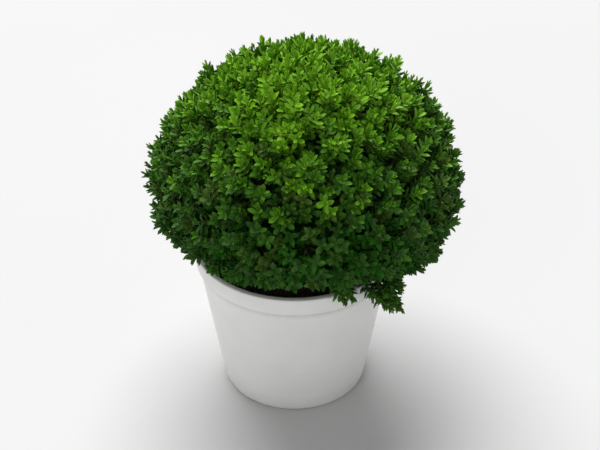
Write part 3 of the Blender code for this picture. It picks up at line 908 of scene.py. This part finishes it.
def shoot_tips(dice):
    """Where the leafy shoots end: evenly over the dome, in clumps, some proud of it and some inside."""
    direction, inner, hangs = shoot_directions(dice)
    count = len(direction)
    middles = spiral(CLUMPS, SHOOT_LOWEST_ANGLE)
    middles = unit(middles + dice.normal(0, CLUMP_SCATTER, middles.shape))
    clump = np.argmax(direction @ middles.T, axis=1)
    middle = middles[clump]
    reach = crown_reach(direction)
    level = clump_levels(direction, middle, reach, clump, dice)
    # Kept for the painted shade and light of each shoot's leaves: how far it stands out, with the loose
    # ones set light.
    relief = np.where(inner, 0, np.where(hangs, LOOSE_RELIEF, level))
    trim = np.interp(direction[:, 1], *UNDERSIDE_TRIMS) * (1 - overhang(direction))
    level -= np.interp(direction[:, 2], UNDERSIDE_HEIGHTS, (1, 0)) * trim
    level = np.where(inner, -reach * dice.uniform(*INNER_DEPTHS, count), level)
    level[hangs] = SHOOT_RISE + np.array(LOOSE_SHOOTS, float)[:, 2]
    tip = CROWN + direction * (reach - SHOOT_RISE + level)[:, None]
    splay = (direction - middle) * reach[:, None] / CLUMP_RADIUS
    lift = np.interp(direction[:, 2], *SHOOT_LIFTS)
    lift[hangs] = LOOSE_LIFT
    upwards = lift[:, None] * np.array((0.0, 0.0, 1.0))
    wander = np.where(inner, INNER_WANDER, AIM_WANDER)[:, None] * dice.normal(0, 1, direction.shape)
    aim = unit(AIM_OUTWARDS * direction + upwards + AIM_SPLAY * splay + wander)
    keep = (dice.uniform(size=count) > MISSING_SHARE) | hangs
    shoots = SimpleNamespace(
        direction=direction, tip=tip, aim=aim, clump=clump, relief=relief, inner=inner, hangs=hangs,
    )
    return chosen(shoots, keep)


def forks(shoots, twigs, wood):
    """Where each shoot leaves its twig.

    The ones inside the crown start at the nearest point of any twig or bough behind them.
    """
    root = twigs.root[shoots.twig]
    twig_tip = twigs.tip[shoots.twig]
    away = np.linalg.norm(shoots.tip - (twig_tip + shoots.direction * FORK_AHEAD), axis=1)
    share = np.clip(FORK_FURTHEST - away / FORK_SPAN, *FORK_SHARES)[:, None]
    fork = root + (twig_tip - root) * share
    inner = chosen(shoots, shoots.inner)
    behind = inner.tip - inner.direction * INNER_LENGTH
    fork[shoots.inner] = wood[np.argmin(np.linalg.norm(behind[:, None] - wood, axis=2), axis=1)]
    return fork


def shoot_lines(shoots, fork):
    """Each shoot's line from its fork, arched over the rim where it hangs outside."""
    length = np.linalg.norm(shoots.tip - fork, axis=1, keepdims=True)
    bend = shoots.tip - shoots.aim * length * SHOOT_BEND
    leaving = fork + (bend - fork) * BEND_SHARE
    leaving[shoots.hangs, 2] += LOOSE_ARCH
    arriving = shoots.tip + (bend - shoots.tip) * BEND_SHARE
    return bezier(np.stack((fork, leaving, arriving, shoots.tip), axis=1), SHOOT_POINTS)


def grow_shoots(sites, twigs, dice):
    """The shoots that are clear of the pot, each on the twig nearest to its direction."""
    shoots = shoot_tips(dice)
    shoots.twig = np.argmax(shoots.direction @ twigs.direction.T, axis=1)
    shoots.mass = twigs.mass[shoots.twig]
    wood = np.concatenate((twigs.line.reshape(-1, 3), bough_lines(sites).reshape(-1, 3)))
    shoots.line = shoot_lines(shoots, forks(shoots, twigs, wood))
    return chosen(shoots, clear_of_pot(shoots.line, SHOOT_POT_ROOM).all(axis=1))


def make_twigs(name, shoots, twigs, materials):
    """The green shoots and the brown twigs of one mass, as one piece."""
    green = tapered(shoots.line[:, ::2], SHOOT_RADII, SHOOT_SIDES)
    brown = tapered(twigs.line, TWIG_RADII, TWIG_SIDES)
    kinds = np.repeat((0, 1), (len(green[1]), len(brown[1])))
    made = solid_of(f"twigs_{name}", *join_arrays([green, brown]), materials, kinds)
    place(made, "bark", f"foliage_{name}")


# The leaves.


def leaf_height(x, y):
    """Height of the cupped, keeled blade over its root, as a share of its length."""
    return LEAF_CUP * (2 * y) ** 2 + LEAF_KEEL * x * x - LEAF_SAG * math.sin(math.pi * x)


def leaf_shape(half_outline, keel, triangles):
    """Points of one leaf along +X with its inner side up, as two skins, and its triangles."""
    left = list(half_outline)
    rim = [(0, 0)] + left + [(1, 0)] + [(x, -y) for x, y in reversed(left)]
    points = []
    for skin in (1, -1):
        points += [(x, y, leaf_height(x, y)) for x, y in rim]
        points += [(x, 0, leaf_height(x, 0) + skin * LEAF_HALF_THICKNESS / LEAF_LENGTH) for x in keel]
    under = len(points) // 2
    corners = list(triangles) + [(c + under, b + under, a + under) for a, b, c in triangles]
    return np.array(points, float), np.array(corners)


def fine_leaf():
    triangles = [
        (0, 8, 1), (0, 7, 8), (1, 8, 9), (1, 9, 2), (7, 6, 9), (7, 9, 8),
        (2, 9, 10), (2, 10, 3), (6, 5, 10), (6, 10, 9), (3, 10, 4), (5, 4, 10),
    ]
    return leaf_shape(FINE_OUTLINE, FINE_KEEL, triangles)


def plain_leaf():
    triangles = [(0, 6, 1), (1, 6, 2), (2, 6, 3), (3, 6, 4), (4, 6, 5), (5, 6, 0)]
    return leaf_shape(PLAIN_OUTLINE, PLAIN_KEEL, triangles)


def point_below(lines, distance):
    """The point and direction of each line at a distance back from its tip, and whether it is that long."""
    steps = np.linalg.norm(np.diff(lines, axis=1), axis=2)
    back = np.concatenate((np.zeros((len(lines), 1)), np.cumsum(steps[:, ::-1], axis=1)), axis=1)
    reverse = lines[:, ::-1]
    slot = np.clip((back <= distance[:, None]).sum(axis=1) - 1, 0, lines.shape[1] - 2)
    rows = np.arange(len(lines))
    share = (distance - back[rows, slot]) / np.maximum(back[rows, slot + 1] - back[rows, slot], 1e-6)
    start = reverse[rows, slot]
    end = reverse[rows, slot + 1]
    point = start + (end - start) * np.clip(share, 0, 1)[:, None]
    return point, unit(start - end), share <= 1


def leaf_frame(axis, outward, lean, roll):
    """Directions along, across and up from leaves that lean off their shoot and roll a little."""
    along = axis * np.cos(lean) + outward * np.sin(lean)
    up = axis * np.sin(lean) - outward * np.cos(lean)
    side = np.cross(up, along)
    return along, side * np.cos(roll) + up * np.sin(roll), up * np.cos(roll) - side * np.sin(roll)


def leaves_on(shoots, dice):
    """A set of all leaves: shoot, base, along, side and up directions, size, and the number of the pair."""
    count = len(shoots.line)
    grown = np.where(shoots.inner, INNER_LEAF, 1)
    spin = dice.uniform(0, math.pi, count)
    slender = dice.uniform(*INTERNODE_SHARES, count)
    spring = dice.uniform(-SHOOT_SPRING, SHOOT_SPRING, count)
    sets = []
    for pair, (pair_size, pair_lean) in enumerate(zip(PAIR_SIZES, PAIR_LEANS)):
        below = FIRST_PAIR_BELOW + INTERNODE * pair * slender + dice.uniform(-PAIR_SHIFT, PAIR_SHIFT, count)
        base, axis, inside = point_below(shoots.line, below)
        reference = unit(np.cross(axis, OFF_AXIS))
        other = np.cross(axis, reference)
        for half in range(2):
            turn = spin + math.pi / 2 * pair + math.pi * half + dice.normal(0, LEAF_TURN_SPREAD, count)
            outward = reference * np.cos(turn)[:, None] + other * np.sin(turn)[:, None]
            lean = np.radians(pair_lean + spring + dice.normal(0, LEAF_LEAN_SPREAD, count))
            roll = dice.normal(0, LEAF_ROLL_SPREAD, count)
            along, side, up = leaf_frame(axis, outward, lean[:, None], roll[:, None])
            leaves = SimpleNamespace(shoot=np.arange(count), base=base, along=along, side=side, up=up)
            leaves.size = pair_size * grown * dice.uniform(*LEAF_SIZES, count)
            leaves.pair = np.full(count, pair)
            sets.append(chosen(leaves, inside))
    return joined(sets)


def leaf_points(leaves, shape):
    """Points (leaves, corners, 3) of the leaves from their frames."""
    slim = np.where(leaves.pair < SLIM_PAIRS, SLIM_WIDTH, 1)
    long = (leaves.size * LEAF_LENGTH)[:, None, None]
    wide = (leaves.size * slim * LEAF_WIDTH)[:, None, None]
    points = leaves.base[:, None] + leaves.along[:, None] * shape[None, :, 0:1] * long
    points += leaves.side[:, None] * shape[None, :, 1:2] * wide
    points += leaves.up[:, None] * shape[None, :, 2:3] * long
    return points


def deal_greens(shoots, leaves, dice):
    """The number of each leaf's green: by the age of its pair, lighter or darker by its spray, and with
    painted shade and light by its height on the dome and how far its shoot stands out.
    """
    shoot = leaves.shoot
    count = len(shoots.clump)
    of_clump = dice.normal(0, CLUMP_SHADE_SPREAD, CLUMPS)[shoots.clump][shoot]
    of_shoot = dice.normal(0, SHOOT_SHADE_SPREAD, count)[shoot]
    # Painted shade and light: darker where the shoot lies back in a hollow of the dome, lighter where it
    # stands out.
    of_shoot = of_shoot - RELIEF_PAINTED_SHADE * (shoots.relief[shoot] - RELIEF_MIDDLE)
    # Darker lower on the dome: partly older leaves, partly painted shade.
    low = np.interp(shoots.direction[shoot, 2], *AGE_AND_PAINTED_SHADE_BY_HEIGHT)
    age = np.interp(leaves.pair, *AGE_SHADES)
    of_leaf = dice.normal(0, LEAF_SHADE_SPREAD, len(shoot))
    shade = age + of_clump + of_shoot + low + INNER_SHADE * shoots.inner[shoot] + of_leaf
    green = np.clip(np.round(shade), 0, OLIVE - 1).astype(int)
    turned_olive = (dice.uniform(size=count) < OLIVE_SHARE) & ~shoots.inner
    return np.where(turned_olive[shoot] & (green >= OLIVE_FROM), OLIVE, green)


def make_leaves(name, number, kinds, materials):
    """The leaves of one mass, fine and plain ones, as one piece."""
    arrays = []
    greens = []
    for leaves, corners in kinds:
        mine = chosen(leaves, leaves.mass == number)
        starts = np.arange(len(mine.points)) * mine.points.shape[1]
        arrays.append((mine.points.reshape(-1, 3), (corners[None] + starts[:, None, None]).reshape(-1, 3)))
        greens.append(np.repeat(mine.green, len(corners)))
    made = solid_of(f"leaves_{name}", *join_arrays(arrays), materials, np.concatenate(greens))
    place(made, "leaf_green", f"foliage_{name}")


def make_foliage(sites, leaf_materials, twig_materials, dice):
    twigs = grow_twigs(sites)
    shoots = grow_shoots(sites, twigs, dice)
    leaves = leaves_on(shoots, dice)
    leaves.green = deal_greens(shoots, leaves, dice)
    leaves.mass = shoots.mass[leaves.shoot]
    fine = (leaves.pair < FINE_PAIRS) & ~shoots.inner[leaves.shoot]
    kinds = []
    for which, (shape, corners) in ((fine, fine_leaf()), (~fine, plain_leaf())):
        kind = chosen(leaves, which)
        kind.points = leaf_points(kind, shape)
        kinds.append((chosen(kind, clear_of_pot(kind.points, LEAF_POT_ROOM).all(axis=1)), corners))
    for number, name in enumerate(sites):
        make_leaves(name, number, kinds, leaf_materials)
        mine = chosen(shoots, shoots.mass == number)
        make_twigs(name, mine, chosen(twigs, twigs.mass == number), twig_materials)


# The stage, lights and camera.


def make_stage():
    bpy.ops.mesh.primitive_plane_add(size=FLOOR_SIZE, location=(0, 0, 0))
    floor = bpy.context.object
    floor.name = "floor"
    made = Nodes("pale_floor", FLOOR_COLOUR, roughness=0.7)
    made.feed("Roughness", made.spread(made.noise(scale=3, detail=2), low=0.65, high=0.75))
    floor.data.materials.append(made.material)


def add_sun(name, towards, softness, strength):
    data = bpy.data.lights.new(name, "SUN")
    data.angle = softness
    data.energy = strength
    light = bpy.data.objects.new(name, data)
    light.rotation_mode = "QUATERNION"
    light.rotation_quaternion = Vector(towards).to_track_quat("-Z", "Y")
    light.location = (0, 0, 1)
    bpy.context.scene.collection.objects.link(light)


def make_lights():
    world = bpy.data.worlds.new("studio")
    bpy.context.scene.world = world
    world.use_nodes = True
    world.node_tree.nodes["Background"].inputs["Color"].default_value = WORLD_COLOUR
    world.node_tree.nodes["Background"].inputs["Strength"].default_value = WORLD_STRENGTH
    for sun in SUNS:
        add_sun(*sun)


def make_camera():
    data = bpy.data.cameras.new("camera")
    data.sensor_width = SENSOR_WIDTH
    data.lens = SENSOR_WIDTH / 2 / math.tan(VIEW_WIDTH / 2)
    data.clip_start, data.clip_end = VIEW_CLIP
    camera = bpy.data.objects.new("camera", data)
    back = Vector((
        math.sin(VIEW_AZIMUTH) * math.cos(VIEW_ELEVATION),
        -math.cos(VIEW_AZIMUTH) * math.cos(VIEW_ELEVATION),
        math.sin(VIEW_ELEVATION),
    ))
    camera.location = VIEW_TARGET + back * VIEW_DISTANCE
    camera.rotation_mode = "QUATERNION"
    camera.rotation_quaternion = (-back).to_track_quat("-Z", "Y")
    bpy.context.scene.collection.objects.link(camera)
    bpy.context.scene.camera = camera
    bpy.context.scene.view_settings.view_transform = "Standard"


def main():
    dice = np.random.default_rng(SEED)
    sites = mass_sites()
    make_pot(pot_material())
    make_soil(soil_material(), dice)
    make_bark(sites, bark_material(), dice)
    leaf_materials = []
    for number, (name, colour) in enumerate(GREENS.items()):
        leaf_materials.append(leaf_material(name, colour, LEAF_ROUGHNESS + LEAF_ROUGHNESS_STEP * number))
    twig_materials = [twig_material(name, colour) for name, colour in TWIG_COLOURS.items()]
    make_foliage(sites, leaf_materials, twig_materials, dice)
    make_stage()
    make_lights()
    make_camera()


main()
bpy.context.view_layer.update()
